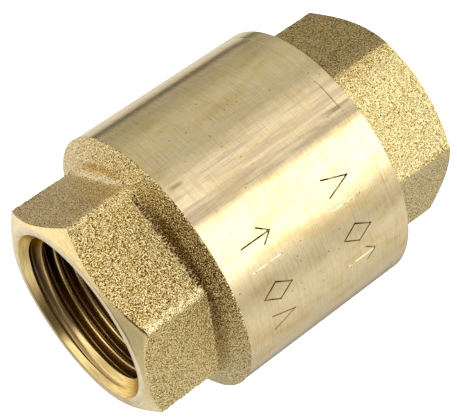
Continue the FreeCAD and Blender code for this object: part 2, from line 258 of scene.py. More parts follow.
def cast_brass():
    """Sand-blasted brass: facets and a fine grain that glint, over slow lumps."""
    material, tree, shader = new_material("cast_brass")
    place = object_place(tree)
    facets = add_node(tree, "ShaderNodeTexVoronoi", Vector=place, Scale=5.2).outputs["Distance"]
    grain = noise_value(tree, place, scale=6.1, detail=1.5, roughness=0.6)
    lumps = noise_value(tree, place, scale=0.9, detail=2.0)
    drag = noise_value(tree, object_place(tree, (0.12, 1, 1)), scale=5.4, detail=0.0)
    foot = multiply(
        tree,
        station_band(tree, 9.2, 9.35, 9.7, 9.8),
        band(tree, axis_value(tree, "Y"), -8.0, -7.0, 5.0, 6.8, 0.9),
    )
    torn = ramp(tree, drag, [
        (0.46, (0.04, 0.022, 0.007)),
        (0.53, (0.27, 0.16, 0.055)),
        (0.60, (0.86, 0.62, 0.27)),
    ])
    # bright blotches on two corners of the inlet hexagon: metal bared by rubbing, partly a painted
    # highlight
    rubbed_highlit = rubbed_highlit_corners(tree)
    colour = shoulder_shade_and_highlight(tree, blasted_colour(tree, grain, lumps), grain)
    colour = hexagon_painted_shade(tree, mix_colour(tree, foot, colour, torn))
    colour = painted_burr_shadow(tree, mix_colour(tree, rubbed_highlit, colour, (1.0, 0.86, 0.48)))
    tree.links.new(colour, shader.inputs["Base Color"])
    shader.inputs["Metallic"].default_value = 1.0
    tree.links.new(remap(tree, grain, 0.35, 0.58, 0.42, 0.18), shader.inputs["Roughness"])
    slow = bump(tree, lumps, strength=0.5, distance=0.10 * MM)
    dragged = bump(tree, multiply(tree, drag, foot), strength=1.0, distance=0.2 * MM, normal=slow)
    faceted = bump(tree, facets, strength=1.0, distance=0.12 * MM, normal=dragged)
    pressed = multiply(tree, grain, remap(tree, rubbed_highlit, 0.0, 1.0, 1.0, 0.3))
    grained = bump(tree, pressed, strength=1.0, distance=0.10 * MM, normal=faceted)
    tree.links.new(grained, shader.inputs["Normal"])
    return material


def blasted_colour(tree, grain, lumps):
    """Dark pits to bright grains, steepened as painted glints and painted shade in the pits; one flat of
    the outlet hexagon has a painted highlight, and the inlet's foot is brighter.
    """
    # painted highlight: one flat of the outlet hexagon is made brighter
    outlet_flat_highlight = multiply(
        tree,
        station_band(tree, *OUTLET_FLATS),
        band(tree, axis_value(tree, "Y"), -11.0, -9.0, 2.5, 4.5, 0.05),
    )
    inlet_foot = multiply(tree, station_band(tree, 5.0, 8.0, 9.3, 9.8), 0.022)
    # the steep ramp is partly the grain's own tone, partly painted glints and painted shade in the pits
    colour = ramp(tree, add(tree, grain, add(tree, outlet_flat_highlight, inlet_foot)), [
        (0.37, (0.10, 0.05, 0.008)),
        (0.43, (0.64, 0.40, 0.095)),
        (0.50, (0.98, 0.70, 0.225)),
        (0.57, (1.0, 0.90, 0.50)),
    ])
    tint = ramp(tree, lumps, [(0.3, (0.93, 0.92, 0.88)), (0.7, (1.0, 1.0, 1.0))])
    return mix_colour(tree, 1.0, colour, tint, "MULTIPLY")


def shoulder_shade_and_highlight(tree, colour, grain):
    """Painted shade: brown on the shoulder's shaded side and in the crease at its root. A golden arc and a
    pale painted highlight on the fillet, both at +Y.
    """
    across = axis_value(tree, "Y")
    shade_side = multiply(
        tree,
        remap(tree, across, 1.0, 6.5, 1.0, 0.0),
        remap(tree, across, -13.0, -8.0, 0.35, 1.0),
    )
    shoulder = multiply(tree, station_band(tree, 9.6, 9.8, 11.3, 11.4), shade_side)
    # painted shade on the shoulder's shaded side, kept off its brightest grains
    painted_shoulder_shade = multiply(tree, shoulder, remap(tree, grain, 0.50, 0.60, 1.0, 0.0))
    colour = mix_colour(tree, painted_shoulder_shade, colour, (0.34, 0.25, 0.11), "MULTIPLY")
    # painted shade in the crease at the shoulder's root
    root = multiply(tree, station_band(tree, 9.65, 9.75, 10.15, 10.35), shade_side)
    colour = mix_colour(tree, root, colour, (0.50, 0.42, 0.32), "MULTIPLY")
    golden = multiply(
        tree,
        station_band(tree, 9.92, 10.05, 10.14, 10.30),
        band(tree, across, 7.4, 9.6, 12.6, 14.0),
    )
    colour = mix_colour(tree, golden, colour, (0.78, 0.65, 0.38), "MULTIPLY")
    # painted highlight on the fillet at +Y
    pale = multiply(
        tree,
        station_band(tree, 9.5, 9.6, 9.8, 9.95),
        band(tree, across, 7.5, 9.0, 13.4, 14.4, 0.40),
    )
    return mix_colour(tree, pale, colour, (0.97, 0.88, 0.64))


def hexagon_painted_shade(tree, colour):
    """Painted shade: a greyer upper side on the inlet hexagon, and darker flats towards +Y on both
    hexagons.
    """
    across = axis_value(tree, "Y")
    # each: the stations, where the painted shade rises across Y, and its colour
    for stations, rise_from, rise_to, tint in (
        ((-1.0, 0.0, 6.0, 14.0), -7.6, -6.6, (0.89, 0.87, 0.87)),
        (OUTLET_FLATS, 1.0, 6.0, (0.60, 0.56, 0.49)),
        (INLET_FLATS, 6.9, 7.7, (0.80, 0.73, 0.58)),
    ):
        side = remap(tree, across, rise_from, rise_to, 0.0, 1.0)
        tinted = multiply(tree, station_band(tree, *stations), side)
        colour = mix_colour(tree, tinted, colour, tint, "MULTIPLY")
    return colour


def rubbed_highlit_corners(tree):
    """A value of 1 in blotches along two corners of the inlet hexagon: bright metal bared by rubbing, and a
    painted highlight along those corners.
    """
    across = axis_value(tree, "Y")
    corner = remap(tree, axis_distance(tree), 13.8, 14.0, 0.0, 1.0)
    blobs = remap(tree, noise_value(tree, object_place(tree), scale=1.7, detail=1.0), 0.46, 0.50, 0.05, 1.0)
    lower = band(tree, across, -7.45, -7.3, -6.5, -6.0)
    upper = band(tree, across, 6.2, 6.8, 7.4, 7.7, 0.4)
    spots = multiply(tree, multiply(tree, corner, blobs), station_band(tree, 0.0, 0.1, 9.4, 9.7))
    return multiply(tree, spots, add(tree, lower, upper))


def painted_burr_shadow(tree, colour):
    """A dark line along the inlet chamfer's edge: the painted shadow of the burr that the cut left."""
    cone_start = (CHAMFER_START * CHAMFER_SLOPE - INLET) / MM
    depth = add_node(tree, "ShaderNodeMath", {"operation": "MULTIPLY_ADD"}, _0=axis_distance(tree),
                     _1=-CHAMFER_SLOPE, _2=cone_start).outputs[0]
    behind = add(tree, axis_value(tree, "X"), depth)
    line = multiply(
        tree,
        remap(tree, behind, 0.24, 0.36, 0.95, 0.0),
        station_band(tree, *INLET_FLATS),
    )
    stretch = band(tree, axis_value(tree, "Y"), -7.5, -7.2, -4.2, -3.0)
    # painted shadow of the burr
    return mix_colour(tree, multiply(tree, line, stretch), colour, (0.08, 0.05, 0.02))


def strip(tree, across, wobble, line, half):
    """A value of up to 0.85 within half a width of a line along the valve, its sides made uneven."""
    uneven = remap(tree, wobble, 0.3, 0.7, line - 0.25, line + 0.25)
    size = calculate(tree, "ABSOLUTE", calculate(tree, "SUBTRACT", across, uneven))
    return remap(tree, size, half * 0.5, half, 0.85, 0.0)


def pits(tree, scale, size, rarity):
    """A value of 0.85 inside small round pits; scale sets their spacing, rarity how few there are."""
    place = object_place(tree)
    nearest = add_node(tree, "ShaderNodeTexVoronoi", Vector=place, Scale=scale).outputs["Distance"]
    spot = remap(tree, nearest, size * 0.6, size, 1.0, 0.0)
    few = remap(tree, noise_value(tree, place, scale=0.7, detail=0.0), rarity, rarity + 0.04, 0.0, 0.85)
    return multiply(tree, spot, few)


# marks on top of the barrel: stations (rise from and to, fall from and to), distance from the middle
# plane, half width, colour
WEAR_MARKS = (
    ((11.6, 12.3, 13.2, 13.9), 3.75, 0.34, (0.42, 0.32, 0.19)),
    ((31.2, 33.4, 34.0, 34.2), 0.62, 0.20, (0.32, 0.24, 0.13)),
    ((34.0, 34.2, 35.2, 35.8), 0.68, 0.22, (0.46, 0.35, 0.21)),
    ((33.78, 33.86, 33.93, 34.0), 2.3, 2.4, (0.26, 0.20, 0.10)),
)


def lathe_colour(tree, lines):
    """Clean turned brass: slow clouds of tone under fine lines, more golden on one stretch."""
    clouds = noise_value(tree, object_place(tree, (0.4, 1, 1)), scale=0.5, detail=5.0, roughness=0.62)
    base = ramp(tree, clouds, [
        (0.34, (0.80, 0.61, 0.30)),
        (0.46, (0.87, 0.70, 0.39)),
        (0.62, (0.91, 0.76, 0.47)),
    ])
    fine = ramp(tree, lines, [
        (0.32, (0.78, 0.75, 0.70)),
        (0.50, (0.96, 0.95, 0.94)),
        (0.60, (1.0, 1.0, 1.0)),
    ])
    colour = mix_colour(tree, 1.0, base, fine, "MULTIPLY")
    golden = band(tree, axis_value(tree, "Y"), 5.0, 10.0, 13.6, 15.6)
    return mix_colour(tree, golden, colour, (1.0, 0.99, 0.88), "MULTIPLY")


def barrel_top_marks(tree, colour):
    """Top of the barrel: brown streaks, fine scores along the valve, and single dark marks."""
    streaks = noise_value(tree, object_place(tree, (0.06, 1, 1)), scale=1.5, detail=3.0, roughness=0.6)
    across = axis_value(tree, "Y")
    on_top = remap(tree, axis_value(tree, "Z"), 14.0, 15.5, 0.0, 1.0)
    # a band along the top of the barrel where the brown streaks lie
    top_band = multiply(tree, band(tree, across, -1.6, -0.8, 3.6, 5.6), on_top)
    brown = multiply(tree, remap(tree, streaks, 0.44, 0.60, 0.0, 0.85), top_band)
    colour = mix_colour(tree, brown, colour, (0.63, 0.48, 0.31))
    hatch = noise_value(tree, object_place(tree, (0.10, 1, 1)), scale=6.5, detail=1.0)
    scores = ramp(tree, hatch, [(0.40, (0.93, 0.92, 0.89)), (0.52, (1.0, 1.0, 1.0))])
    colour = mix_colour(tree, on_top, colour, mix_colour(tree, 1.0, colour, scores, "MULTIPLY"))
    for stations, line, half, shade in WEAR_MARKS:
        mark = multiply(tree, strip(tree, across, streaks, line, half), station_band(tree, *stations))
        colour = mix_colour(tree, multiply(tree, mark, on_top), colour, shade)
    return colour


def turned_brass():
    """Bright turned brass: lines round the valve, pits, and brown streaks, fine scores and dark marks on
    top of the barrel.
    """
    material, tree, shader = new_material("turned_brass")
    lines = noise_value(tree, object_place(tree, (1, 0.04, 0.04)), scale=8.0, detail=4.0, roughness=0.75)
    wide_place = object_place(tree, (1, 0.05, 0.05))
    wide_lines = noise_value(tree, wide_place, scale=2.2, detail=2.0, roughness=0.6)
    colour = barrel_top_marks(tree, lathe_colour(tree, lines))
    colour = mix_colour(tree, pits(tree, 0.9, 0.11, 0.49), colour, (0.36, 0.25, 0.10))
    colour = mix_colour(tree, pits(tree, 0.5, 0.08, 0.47), colour, (0.44, 0.32, 0.15))
    tree.links.new(colour, shader.inputs["Base Color"])
    shader.inputs["Metallic"].default_value = 1.0
    shader.inputs["Specular Tint"].default_value = (1.0, 0.97, 0.86, 1)
    shader.inputs["Anisotropic"].default_value = 0.8
    shader.inputs["Anisotropic Rotation"].default_value = 0.25
    round_axis = add_node(tree, "ShaderNodeTangent", {"direction_type": "RADIAL", "axis": "X"})
    tree.links.new(round_axis.outputs["Tangent"], shader.inputs["Tangent"])
    tree.links.new(remap(tree, wide_lines, 0.3, 0.7, 0.20, 0.13), shader.inputs["Roughness"])
    coarse = bump(tree, wide_lines, strength=0.35, distance=0.02 * MM)
    turned = bump(tree, lines, strength=0.6, distance=0.014 * MM, normal=coarse)
    tree.links.new(turned, shader.inputs["Normal"])
    return material


def faced_brass():
    """End rings: faced on the lathe, satin, with painted shade low down where the floor's shadow falls."""
    material, tree, shader = new_material("faced_brass")
    rings = noise_value(tree, object_place(tree, (1, 0.6, 0.6)), scale=2.5, detail=3.0, roughness=0.6)
    clouds = noise_value(tree, object_place(tree), scale=0.5, detail=2.0)
    base = ramp(tree, clouds, [(0.35, (0.82, 0.67, 0.38)), (0.65, (0.90, 0.76, 0.48))])
    shade = ramp(tree, rings, [(0.3, (0.9, 0.88, 0.84)), (0.65, (1.0, 1.0, 1.0))])
    colour = mix_colour(tree, 1.0, base, shade, "MULTIPLY")
    # painted shade: darker towards the bottom, in place of the floor's shadow
    painted_floor_shade = remap(tree, distance_along(tree, (0, -0.35, -0.94)), 2.0, 8.0, 0.0, 1.0)
    colour = mix_colour(tree, painted_floor_shade, colour, (0.68, 0.64, 0.52), "MULTIPLY")
    tree.links.new(colour, shader.inputs["Base Color"])
    shader.inputs["Metallic"].default_value = 1.0
    tree.links.new(remap(tree, rings, 0.3, 0.7, 0.38, 0.28), shader.inputs["Roughness"])
    tree.links.new(bump(tree, rings, strength=0.3, distance=0.02 * MM), shader.inputs["Normal"])
    return material


def countersink(tree, colour):
    """The bright cone at each mouth, with a stain on one stretch of it."""
    from_middle = calculate(tree, "ABSOLUTE", axis_value(tree, "X"))
    inward = calculate(tree, "SUBTRACT", axis_distance(tree), from_middle)
    on_cone = (MOUTH - OUTLET) / MM
    cone = remap(tree, inward, on_cone + 0.02, on_cone + 0.10, 1.0, 0.0)
    colour = mix_colour(tree, cone, colour, (0.92, 0.70, 0.30))
    angle = calculate(tree, "ARCTAN2", axis_value(tree, "Z"), axis_value(tree, "Y"))
    stretch = band(tree, angle, *(math.radians(degrees) for degrees in (-96, -86, -62, -40)))
    return mix_colour(tree, multiply(tree, stretch, cone), colour, (0.36, 0.26, 0.10))


def thread_brass():
    """Cut thread: bright crests and countersink; painted shade in the valleys, darkest on the upper side.
    """
    material, tree, shader = new_material("thread_brass")
    lines = noise_value(tree, object_place(tree, (1, 0.06, 0.06)), scale=7.0, detail=3.0, roughness=0.6)
    depth = remap(tree, axis_distance(tree), 9.2, 10.7, 0.0, 1.0)
    # painted shade: valleys darker than the crests, lightly on the lower side and strongly on the upper
    # side
    light_valley_shade = ramp(tree, depth, [
        (0.08, (0.90, 0.67, 0.30)),
        (0.30, (0.64, 0.45, 0.19)),
        (0.80, (0.46, 0.32, 0.14)),
    ])
    dark_valley_shade = ramp(tree, depth, [
        (0.07, (0.80, 0.58, 0.25)),
        (0.20, (0.26, 0.16, 0.07)),
        (0.50, (0.11, 0.07, 0.035)),
    ])
    lower_side = remap(tree, distance_along(tree, (0, -0.6, -0.8)), -1.0, 8.0, 0.0, 1.0)
    base = countersink(tree, mix_colour(tree, lower_side, dark_valley_shade, light_valley_shade))
    shade = ramp(tree, lines, [(0.3, (0.72, 0.68, 0.60)), (0.6, (1.0, 1.0, 1.0))])
    tree.links.new(mix_colour(tree, 1.0, base, shade, "MULTIPLY"), shader.inputs["Base Color"])
    shader.inputs["Metallic"].default_value = 1.0
    shader.inputs["Specular Tint"].default_value = (0.55, 0.43, 0.27, 1)
    tree.links.new(remap(tree, lines, 0.3, 0.7, 0.34, 0.22), shader.inputs["Roughness"])
    tree.links.new(bump(tree, lines, strength=0.4, distance=0.02 * MM), shader.inputs["Normal"])
    return material


def groove_shade_brass():
    """Inside of the engraved strokes: painted shade, near black in blotches over brown metal, lighter low
    on the barrel.
    """
    material, tree, shader = new_material("stroke_brass")
    stroke_mottle = noise_value(tree, object_place(tree), scale=1.1, detail=2.0)
    # painted shade in the grooves of the strokes
    colour = ramp(tree, stroke_mottle, [
        (0.48, (0.010, 0.007, 0.003)),
        (0.62, (0.40, 0.28, 0.12)),
    ])
    low = remap(tree, axis_value(tree, "Y"), -12.8, -10.4, 0.8, 0.0)
    tree.links.new(mix_colour(tree, low, colour, (0.60, 0.45, 0.22)), shader.inputs["Base Color"])
    shader.inputs["Metallic"].default_value = 1.0
    shader.inputs["Roughness"].default_value = 0.35
    return material


def bare_brass():
    """Inside of the strokes that run along the valve low on the barrel: bright cut metal."""
    material, tree, shader = new_material("bare_stroke_brass")
    stroke_mottle = noise_value(tree, object_place(tree), scale=1.6, detail=2.0)
    colour = ramp(tree, stroke_mottle, [(0.34, (0.74, 0.58, 0.30)), (0.46, (1.0, 0.95, 0.70))])
    tree.links.new(colour, shader.inputs["Base Color"])
    shader.inputs["Metallic"].default_value = 1.0
    shader.inputs["Roughness"].default_value = 0.30
    return material


def machined(name, dark, light, rough):
    """A plain turned metal for the chamfers and what lies inside, with fine lathe lines."""
    material, tree, shader = new_material(name)
    lines = noise_value(tree, object_place(tree, (1, 0.3, 0.3)), scale=5.0, detail=3.0, roughness=0.6)
    tree.links.new(ramp(tree, lines, [(0.3, dark), (0.65, light)]), shader.inputs["Base Color"])
    shader.inputs["Metallic"].default_value = 1.0
    tree.links.new(remap(tree, lines, 0.3, 0.7, rough + 0.06, rough - 0.04), shader.inputs["Roughness"])
    tree.links.new(bump(tree, lines, strength=0.3, distance=0.015 * MM), shader.inputs["Normal"])
    return material


def moulded(name, dark, light, rough):
    """Rubber or plastic: a faint mottle and a fine moulded grain."""
    material, tree, shader = new_material(name)
    mottle = noise_value(tree, object_place(tree), scale=1.5, detail=3.0, roughness=0.6)
    grain = noise_value(tree, object_place(tree), scale=8.0, detail=2.0)
    tree.links.new(ramp(tree, mottle, [(0.35, dark), (0.65, light)]), shader.inputs["Base Color"])
    tree.links.new(remap(tree, grain, 0.3, 0.7, rough + 0.08, rough - 0.05), shader.inputs["Roughness"])
    tree.links.new(bump(tree, grain, strength=0.25, distance=0.02 * MM), shader.inputs["Normal"])
    return material


# ---------------------------------------------------------------- turned and cast skins

# one turn is six equal sectors, one for each corner of a hexagon
SECTOR, HALF_SECTOR = math.radians(60), math.radians(30)
SECTOR_STEPS = 60
CROWDING = 1.5
SHARP_ANGLE = math.radians(32)

# the cast skin's lumps: their height, how many to a millimetre, and how wide the corners' chips are
LUMP_HEIGHT = 0.014 * MM
BROAD_LUMPS, SMALL_LUMPS = 0.9, 2.3
SMALL_LUMPS_SHIFT = Vector((7, 3, 1))
CHIP_SPREAD = math.radians(2.0)


def sector_angles():
    """Angles all round, closer together near the six corners of a hexagon with a corner at zero."""
    half = SECTOR_STEPS // 2
    rise = HALF_SECTOR * (np.arange(half + 1) / half) ** CROWDING
    sector = np.concatenate([rise, SECTOR - rise[-2:0:-1]])
    return np.concatenate([sector + SECTOR * corner for corner in range(6)])


ANGLES = sector_angles()
FROM_CORNER = (ANGLES + HALF_SECTOR) % SECTOR - HALF_SECTOR


def hexagon_radius(rounding):
    """Distance from the axis to a hexagon with rounded corners, at each of the angles."""
    straight = FLAT / np.cos(HALF_SECTOR - np.abs(FROM_CORNER))
    centre = (FLAT - rounding) / math.cos(HALF_SECTOR)
    inside = np.maximum(rounding ** 2 - (centre * np.sin(FROM_CORNER)) ** 2, 0)
    arc = centre * np.cos(FROM_CORNER) + np.sqrt(inside)
    tangent = math.atan2(rounding / 2, centre + rounding * math.cos(HALF_SECTOR))
    return np.where(np.abs(FROM_CORNER) < tangent, arc, straight)


def all_round(*values):
    """Each value repeated at every angle."""
    return np.array([np.broadcast_to(value, ANGLES.shape) for value in values], float)


class Skin:
    """Closed surface round the X axis: rows of (x, radius) at every angle, and a material per band."""

    def __init__(self):
        self.x, self.r, self.slots, self.rough = [], [], [], []

    def add(self, x, r, slot, rough=0.0):
        """One row of points, with the slot of the band that starts there and how rough it is."""
        x, r, rough = all_round(x, r, rough)
        self.x.append(x)
        self.r.append(r)
        self.slots.append(slot)
        self.rough.append(rough)

    def trace(self, knots):
        """Rows along a path of knots (x, r, rounding, rows to the next knot, slot, rough)."""
        last = len(knots) - 1
        for index, (x, r, rounding, rows, slot, rough) in enumerate(knots):
            here = start = all_round(x, r)
            if rounding and 0 < index < last:
                back = self._towards(here, all_round(*knots[index - 1][:2]), rounding)
                start = self._towards(here, all_round(*knots[index + 1][:2]), rounding)
                for t in (0.0, 0.25, 0.5, 0.75, 1.0):
                    spot = (1 - t) ** 2 * back + 2 * t * (1 - t) * here + t * t * start
                    self.add(*spot, slot, rough)
            else:
                self.add(*here, slot, rough)
            if index < last:
                next_x, next_r, next_rounding = knots[index + 1][:3]
                stop = all_round(next_x, next_r)
                if next_rounding and index + 1 < last:
                    stop = self._towards(stop, start, next_rounding)
                for row in range(1, rows):
                    self.add(*(start + (stop - start) * row / rows), slot, rough)

    @staticmethod
    def _towards(here, other, distance):
        """The point at the distance from here towards the other one, at most half-way."""
        gap = other - here
        length = np.maximum(np.hypot(*gap), 1e-9)
        return here + gap * np.minimum(distance / length, 0.5)

    def build(self, name, materials, turn=0.0):
        """The mesh object, its rows joined in a ring and the cast parts roughened."""
        x, r = np.array(self.x), np.array(self.r)
        angle = ANGLES + turn
        points = np.stack([x, r * np.cos(angle), r * np.sin(angle)], axis=-1)
        points = roughened(points, np.array(self.rough))
        rows, columns = x.shape
        index = np.arange(rows * columns).reshape(rows, columns)
        up, along = np.roll(index, -1, axis=0), np.roll(index, -1, axis=1)
        both = np.roll(up, -1, axis=1)
        faces = np.stack([index, along, both, up], axis=-1).reshape(-1, 4)
        mesh = bpy.data.meshes.new(name)
        mesh.vertices.add(rows * columns)
        mesh.vertices.foreach_set("co", points.reshape(-1))
        mesh.loops.add(faces.size)
        mesh.loops.foreach_set("vertex_index", faces.reshape(-1).astype(np.int32))
        mesh.polygons.add(len(faces))
        mesh.polygons.foreach_set("loop_start", np.arange(0, faces.size, 4, dtype=np.int32))
        mesh.polygons.foreach_set("material_index", np.repeat(np.array(self.slots, np.int32), columns))
        for material in materials:
            mesh.materials.append(material)
        mesh.update(calc_edges=True)
        turned_inside_out = np.sum(x * (np.roll(r, -1, axis=0) ** 2 - np.roll(r, 1, axis=0) ** 2)) > 0
        if turned_inside_out:
            mesh.flip_normals()
        mark_edges(mesh)
        piece = bpy.data.objects.new(name, mesh)
        bpy.context.scene.collection.objects.link(piece)
        return piece


def mark_edges(mesh):
    """Smooth shading, with sharp edges where faces meet at a sharp angle, except in the thread."""
    mesh.shade_smooth()
    mesh.set_sharp_from_angle(angle=SHARP_ANGLE)
    sharp = np.zeros(len(mesh.edges), bool)
    mesh.attributes["sharp_edge"].data.foreach_get("value", sharp)
    slots = np.zeros(len(mesh.polygons), np.int32)
    mesh.polygons.foreach_get("material_index", slots)
    totals = np.zeros(len(mesh.polygons), np.int32)
    mesh.polygons.foreach_get("loop_total", totals)
    edges = np.zeros(len(mesh.loops), np.int32)
    mesh.loops.foreach_get("edge_index", edges)
    in_thread = np.repeat(slots == THREADED, totals)
    sharp[edges[in_thread]] = False
    mesh.attributes["sharp_edge"].data.foreach_set("value", sharp)


def roughened(points, rough):
    """Points pushed in and out along their normals: soft lumps, and chips where rough is high."""
    across = np.roll(points, -1, axis=1) - np.roll(points, 1, axis=1)
    along = np.roll(points, -1, axis=0) - np.roll(points, 1, axis=0)
    normals = np.cross(across, along)
    lengths = np.linalg.norm(normals, axis=-1, keepdims=True)
    normals = normals / np.maximum(lengths, 1e-15)
    height = np.zeros(rough.shape)
    for row, column in np.argwhere(rough > 0):
        spot = Vector(points[row, column]) / MM
        lumps = noise.noise(spot * BROAD_LUMPS) + noise.noise(spot * SMALL_LUMPS + SMALL_LUMPS_SHIFT)
        height[row, column] = lumps * rough[row, column]
    return points + normals * height[..., None] * LUMP_HEIGHT


def thread_radius(depth, fade):
    """Radius of the female thread at a depth in its port, for every angle; crests and valleys rounded."""
    turn = ((depth - FIRST_CREST) / PITCH - ANGLES / (2 * math.pi)) % 1.0
    rise = 1 - np.abs(2 * turn - 1)
    height = 0.5 - 0.5 * np.cos(math.pi * np.clip((rise - FLAT_SHARE) / (1 - 2 * FLAT_SHARE), 0, 1))
    return MINOR + THREAD_DEPTH * fade * height


def add_port(skin, face, inward):
    """Rows from the end face down the countersink and the thread; the thread fades out over a turn."""
    rows = int(THREAD_END / THREAD_ROW)
    for row in range(rows + 1):
        depth = THREAD_END * row / rows
        fade = min(1.0, (THREAD_END - depth) / PITCH)
        skin.add(face + inward * depth, np.maximum(thread_radius(depth, fade), MOUTH - depth), THREADED)


def corner_chips(strength):
    """Roughness for a hexagon: 1 on its flats and more at its corners."""
    return 1.0 + strength * np.exp(-(FROM_CORNER / CHIP_SPREAD) ** 2)


def build_valve_body(materials):
    """Inlet hexagon, shoulder and barrel outside; mouth, thread, seat and chamber inside."""
    skin = Skin()
    hexagon = hexagon_radius(rounding=0.30 * MM)
    chamfer = INLET + (hexagon - CHAMFER_START) * CHAMFER_SLOPE
    rough = corner_chips(strength=4.0)
    # the shoulder slopes in as far as a rounded foot, which ends on the hexagon
    slope = (SHOULDER_END - SHOULDER_START) / (RIM - SHOULDER_ROOT)
    foot_radius = np.maximum(FOOT_RADIUS, hexagon + FOOT_RISE)
    foot_end = SHOULDER_START + (foot_radius - SHOULDER_ROOT) * slope
    skin.trace([
        (SEAM, JOINT, 0.0, 2, INSIDE, 0.0),
        (SEAM, BARREL, 0.03 * MM, 10, TURNED, 0.0),
        (RIM_END, BARREL, 0.0, 1, TURNED, 0.0),
        (RIM_END - 0.02 * MM, RIM - 0.05 * MM, 0.0, 1, CAST, 0.0),
        (SHOULDER_END, RIM, 0.12 * MM, 14, CAST, 1.0),
        (foot_end, foot_radius, 0.3 * MM, 8, CAST, 1.0),
        (FOOT_START, hexagon, 0.45 * MM, 40, CAST, rough),
        (chamfer, hexagon, 0.07 * MM, 7, CHAMFERED, 0.0),
        (INLET, CHAMFER_START, 0.05 * MM, 5, FACED, 0.0),
    ])
    add_port(skin, INLET, 1)
    joint_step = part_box("cap_gasket")[0].x
    skin.trace([
        (SEAT_BORE_START, SEAT_BORE, 0.0, 3, INSIDE, 0.0),
        (SEAT, SEAT_BORE, 0.1 * MM, 2, INSIDE, 0.0),
        (SEAT, LIP, 0.1 * MM, 2, INSIDE, 0.0),
        (SEAT - LIP_HEIGHT, LIP, 0.0, 2, INSIDE, 0.0),
        (SEAT - LIP_HEIGHT, CHAMBER, 0.0, 3, INSIDE, 0.0),
        (joint_step, CHAMBER, 0.0, 2, INSIDE, 0.0),
        (joint_step, JOINT, 0.0, 2, INSIDE, 0.0),
    ])
    return skin.build("valve_body_skin", materials)


def build_end_cap(materials):
    """Flange and outlet hexagon outside; spigot, guide seat and outlet thread inside."""
    skin = Skin()
    hexagon = hexagon_radius(rounding=0.7 * MM)
    chamfer = OUTLET - (hexagon - CHAMFER_START) * CHAMFER_SLOPE
    rough = corner_chips(strength=2.0)
    ring_low, ring_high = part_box("guide_retaining_ring")
    groove_start = ring_low.x - GROOVE_PLAY
    groove_end = ring_high.x + GROOVE_PLAY
    guide_seat = ring_high.x + GUIDE_THICKNESS
    skin.trace([
        (guide_seat, WATERWAY, 0.0, 2, INSIDE, 0.0),
        (guide_seat, GUIDE_BORE, 0.0, 2, INSIDE, 0.0),
        (groove_end, GUIDE_BORE, 0.0, 1, INSIDE, 0.0),
        (groove_end, GROOVE, 0.0, 1, INSIDE, 0.0),
        (groove_start, GROOVE, 0.0, 1, INSIDE, 0.0),
        (groove_start, GUIDE_BORE, 0.0, 1, INSIDE, 0.0),
        (cap_low.x, GUIDE_BORE, 0.0, 1, INSIDE, 0.0),
        (cap_low.x, JOINT - NOSE_BEVEL, 0.0, 1, INSIDE, 0.0),
        (cap_low.x + NOSE_BEVEL, JOINT, 0.0, 3, INSIDE, 0.0),
        (SEAM - RELIEF_LENGTH, JOINT, 0.0, 1, INSIDE, 0.0),
        (SEAM - RELIEF_LENGTH, RELIEF, 0.0, 1, INSIDE, 0.0),
        (SEAM, RELIEF, 0.0, 2, INSIDE, 0.0),
        (SEAM, BARREL, 0.03 * MM, 3, TURNED, 0.0),
        (CAP_SHOULDER, BARREL, 0.10 * MM, 4, TURNED, 0.0),
        (CAP_SHOULDER, hexagon, 0.12 * MM, 44, CAST, rough),
        (chamfer, hexagon, 0.07 * MM, 7, CHAMFERED, 0.0),
        (OUTLET, CHAMFER_START, 0.05 * MM, 5, FACED, 0.0),
    ])
    add_port(skin, OUTLET, -1)
    skin.add(WATERWAY_END, WATERWAY, INSIDE)
    return skin.build("end_cap_skin", materials, CAP_TURN)


# ---------------------------------------------------------------- engraved marks

STROKE_WIDTH = 0.19 * MM
STROKE_DEPTH = 0.12 * MM
WEDGE = (
    (-STROKE_WIDTH * 0.75, BARREL + STROKE_DEPTH),
    (STROKE_WIDTH * 0.75, BARREL + STROKE_DEPTH),
    (STROKE_WIDTH * 0.25, BARREL - STROKE_DEPTH),
    (-STROKE_WIDTH * 0.25, BARREL - STROKE_DEPTH),
)
STROKE_PIECE = 0.4 * MM
GLYPH = 4.0 * MM
# strokes that run along the valve beyond this angle are left bright, without painted shade, and are wider
# by this factor;
# a stroke runs along the valve when its rise is less than this share of its run
BARE_FROM = math.radians(116)
BARE_WIDTH = 1.4
ALONG_SLOPE = 0.3


def stroke_wedge(start, stop, widen):
    """Points and faces of a thin wedge along the barrel from one (x, angle) to another, sharp side in."""
    run, rise = stop[0] - start[0], (stop[1] - start[1]) * BARREL
    length = math.hypot(run, rise)
    along = (run / length, rise / length)
    count = max(1, math.ceil(length / STROKE_PIECE))
    points, faces = [], []
    for index in range(count + 1):
        reach = (index / count) * (length + STROKE_WIDTH) - STROKE_WIDTH / 2
        x = start[0] + along[0] * reach
        angle = start[1] + along[1] * reach / BARREL
        for side, r in WEDGE:
            turn = angle + along[0] * side * widen / BARREL
            points.append((x - along[1] * side * widen, r * math.cos(turn), r * math.sin(turn)))
    for index in range(count):
        for side in range(4):
            a, b = 4 * index + side, 4 * index + (side + 1) % 4
            faces.append((a, b, b + 4, a + 4))
    faces.append((3, 2, 1, 0))
    faces.append((4 * count, 4 * count + 1, 4 * count + 2, 4 * count + 3))
    return points, faces


def is_bare(start, stop):
    """Whether a stroke runs along the valve and lies low enough on the barrel to be left bright, without
    painted shade.
    """
    rise = abs(stop[1] - start[1]) * BARREL
    run = abs(stop[0] - start[0])
    return rise < ALONG_SLOPE * run and start[1] > BARE_FROM


